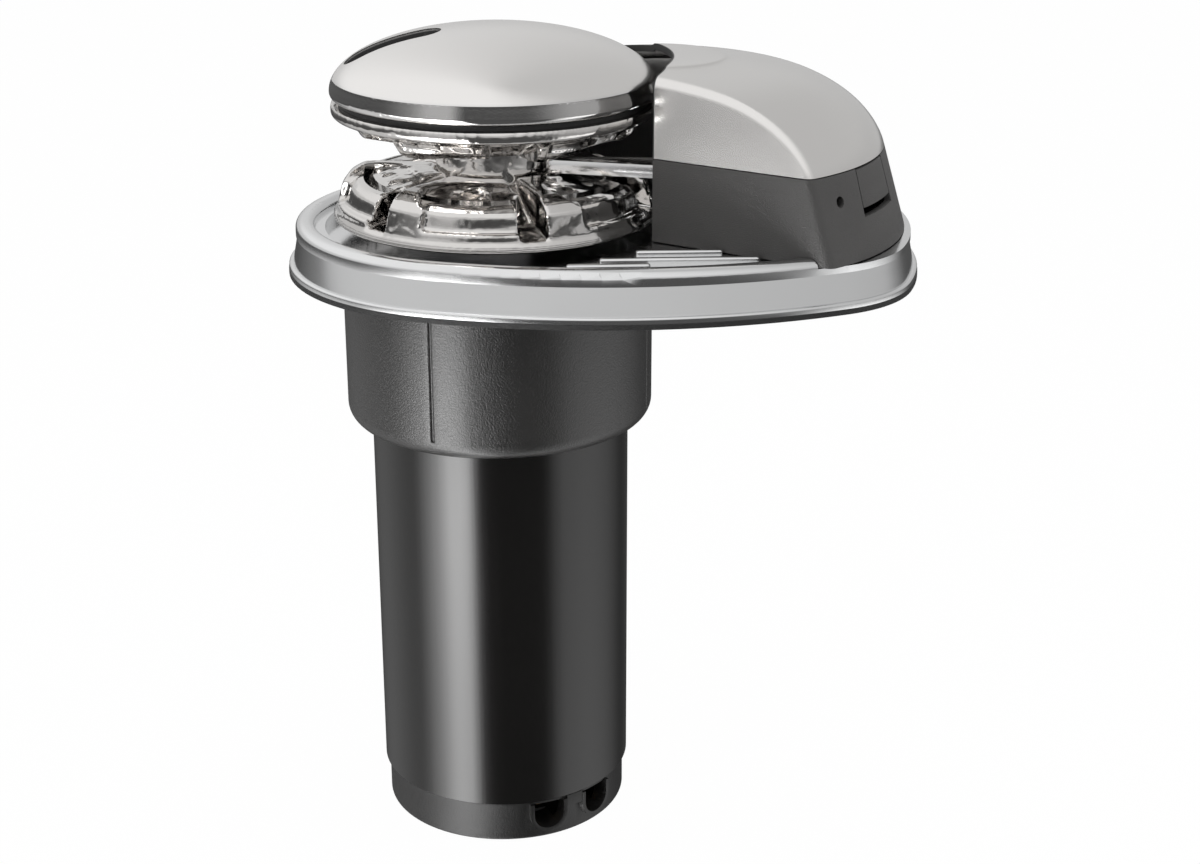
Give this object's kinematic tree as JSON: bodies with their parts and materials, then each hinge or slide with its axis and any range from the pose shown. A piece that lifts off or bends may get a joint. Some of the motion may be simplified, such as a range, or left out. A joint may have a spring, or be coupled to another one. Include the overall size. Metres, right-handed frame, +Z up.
{
  "type": "anchor windlass",
  "caption": "Upright electric anchor windlass: chain gypsy under a domed clutch cap, oval deck base, chain cover and a motor with gearbox hanging below deck.",
  "frame": {"origin": "on the shaft axis, in the deck plane on which the base gasket lies", "axes": "+Z up along the shaft, +X towards the chain cover and the bow"},
  "size_m": [0.239, 0.1744, 0.316],
  "materials": {
    "bearing_steel": "ground",
    "black_paint": "satin black",
    "black_plastic": "fine grain",
    "black_rubber": "matte",
    "bright_finger": "polished",
    "bronze": "machined",
    "carbon": "sintered carbon",
    "cast_aluminium": "cast",
    "copper": "varnished copper",
    "core_steel": "laminated",
    "end_cap_plastic": "satin",
    "fastener_steel": "machined",
    "ferrite": "sintered",
    "grained_housing": "grained black",
    "machined_steel": "machined",
    "phenolic": "moulded",
    "polished_steel": "mirror polished",
    "satin_steel": "satin polished"
  },
  "bodies": {
    "frame": {"base_gasket": "black_rubber", "base_plate": "polished_steel", "bearing_lower": "bearing_steel", "bearing_upper": "bearing_steel", "brush_1": "carbon", "brush_2": "carbon", "brush_plate": "phenolic", "chain_stripper": "bright_finger", "cover_lower": "black_plastic", "cover_screw_1": "fastener_steel", "cover_screw_2": "fastener_steel", "gear_housing": "grained_housing", "housing_screw_1": "fastener_steel", "housing_screw_2": "fastener_steel", "housing_screw_3": "fastener_steel", "housing_screw_4": "fastener_steel", "magnet_1": "ferrite", "magnet_2": "ferrite", "magnet_3": "ferrite", "magnet_4": "ferrite", "motor_bearing_drive": "bearing_steel", "motor_bearing_end": "bearing_steel", "motor_end_cap": "end_cap_plastic", "motor_flange": "cast_aluminium", "motor_tube": "black_paint", "ring_gear": "machined_steel", "shaft_seal": "black_rubber", "stripper_screw": "fastener_steel", "terminal_1": "bronze", "terminal_2": "bronze"},
    "cover_top": {"cover_top": "satin_steel"},
    "latch": {"cover_latch": "black_plastic"},
    "shaft": {"main_shaft": "machined_steel", "shaft_key_low": "fastener_steel", "shaft_key_top": "fastener_steel", "shaft_key_gear": "fastener_steel", "cone_stop_ring": "fastener_steel", "lower_clutch_cone": "machined_steel", "upper_clutch_cone": "machined_steel", "planet_carrier": "machined_steel", "planet_pin_1": "machined_steel", "planet_pin_2": "machined_steel", "planet_pin_3": "machined_steel"},
    "gypsy": {"lower_gypsy": "polished_steel", "gypsy_hub": "polished_steel", "upper_gypsy": "polished_steel", "gypsy_screw_1": "fastener_steel", "gypsy_screw_2": "fastener_steel", "gypsy_screw_3": "fastener_steel", "cap_seal": "black_rubber"},
    "cap": {"clutch_cap": "satin_steel"},
    "armature": {"armature_shaft": "machined_steel", "sun_gear": "machined_steel", "armature_core": "core_steel", "winding_drive": "copper", "winding_end": "copper", "commutator": "copper"},
    "planet_1": {"planet_gear_1": "machined_steel"},
    "planet_2": {"planet_gear_2": "machined_steel"},
    "planet_3": {"planet_gear_3": "machined_steel"}
  },
  "joints": [
    {"name": "drum_spin", "type": "hinge", "parent": "frame", "child": "shaft", "pos_m": [0, 0, 0], "axis": [0, 0, 1], "continuous": true},
    {"name": "gypsy_freewheel", "type": "hinge", "parent": "shaft", "child": "gypsy", "pos_m": [0, 0, 0.04], "axis": [0, 0, 1], "continuous": true},
    {"name": "clutch_turn", "type": "hinge", "parent": "shaft", "child": "cap", "pos_m": [0, 0, 0.07], "axis": [0, 0, 1], "range_deg": [0, 90]},
    {"name": "armature_spin", "type": "hinge", "parent": "frame", "child": "armature", "pos_m": [0, 0, -0.1], "axis": [0, 0, 1], "continuous": true},
    {"name": "planet_1_spin", "type": "hinge", "parent": "shaft", "child": "planet_1", "pos_m": [0.0264, 0, -0.041], "axis": [0, 0, 1], "continuous": true},
    {"name": "planet_2_spin", "type": "hinge", "parent": "shaft", "child": "planet_2", "pos_m": [-0.0132, 0.02286, -0.041], "axis": [0, 0, 1], "continuous": true},
    {"name": "planet_3_spin", "type": "hinge", "parent": "shaft", "child": "planet_3", "pos_m": [-0.0132, -0.02286, -0.041], "axis": [0, 0, 1], "continuous": true},
    {"name": "cover_lift", "type": "slide", "parent": "frame", "child": "cover_top", "axis": [0, 0, 1], "range_m": [0, 0.06]},
    {"name": "latch_press", "type": "hinge", "parent": "frame", "child": "latch", "pos_m": [0.13418, -0.04225, 0.0472], "axis": [0.5, 0.866, 0], "range_deg": [0, 6], "stiffness_Nm_per_rad": 0.5}
  ],
  "couplings": [
    {"joint": "armature_spin", "follows": "drum_spin", "ratio": 5.5},
    {"joint": "planet_1_spin", "follows": "drum_spin", "ratio": -2.5714},
    {"joint": "planet_2_spin", "follows": "drum_spin", "ratio": -2.5714},
    {"joint": "planet_3_spin", "follows": "drum_spin", "ratio": -2.5714}
  ]
}
